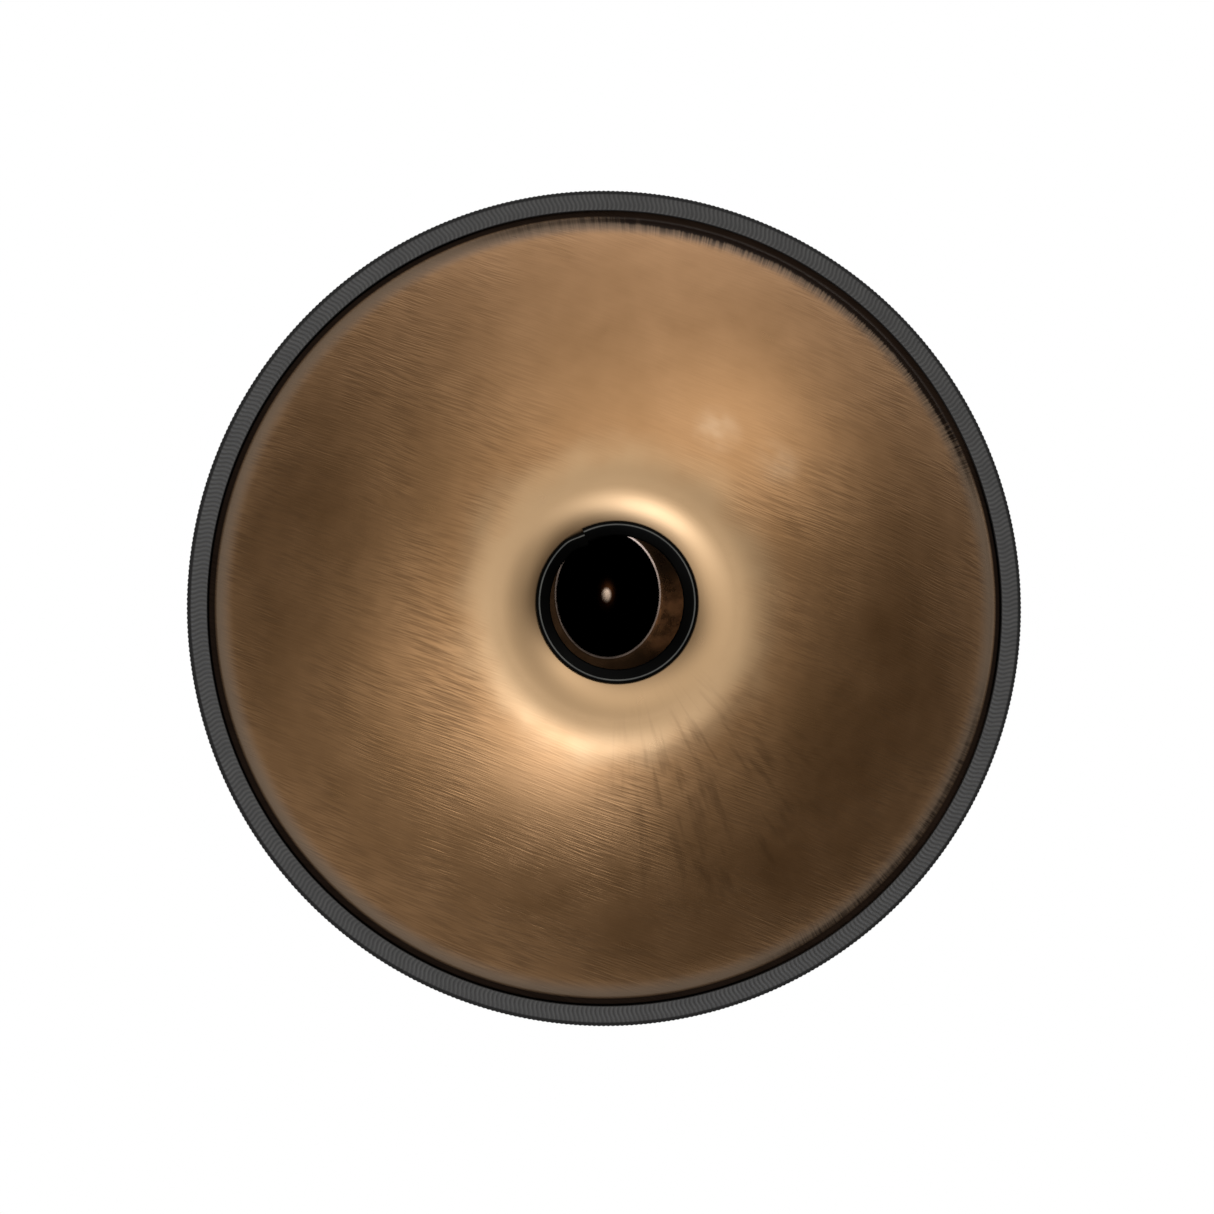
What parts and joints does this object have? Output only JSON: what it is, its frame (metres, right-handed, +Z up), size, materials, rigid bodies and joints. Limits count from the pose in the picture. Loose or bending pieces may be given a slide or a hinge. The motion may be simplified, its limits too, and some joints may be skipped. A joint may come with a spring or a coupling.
{
  "type": "handpan",
  "caption": "Domed metal handpan: hammered playing side above, plain lower side with a rolled round sound port, shells bonded at a flange under a ribbed edge trim.",
  "frame": {"origin": "centre of the ring on which the instrument stands, the crest round the sound port, on the port's axis", "axes": "+Z up, out of the playing side; -Y faces the player, where the largest tone fields are"},
  "size_m": [0.55, 0.55, 0.2346],
  "materials": {
    "bronzed_steel": "bronze-toned, hand-brushed, burnished round the port",
    "cured_adhesive": "dark cured structural adhesive",
    "ribbed_pvc": "dark grey, satin, finely ribbed across",
    "spring_steel": "bare steel strip",
    "black_rubber": "smooth, satin black"
  },
  "bodies": {
    "root": {"top_shell": "bronzed_steel", "bottom_shell": "bronzed_steel", "flange_bond": "cured_adhesive", "rim_trim": "ribbed_pvc", "rim_trim_core": "spring_steel", "port_trim": "black_rubber"}
  },
  "joints": []
}
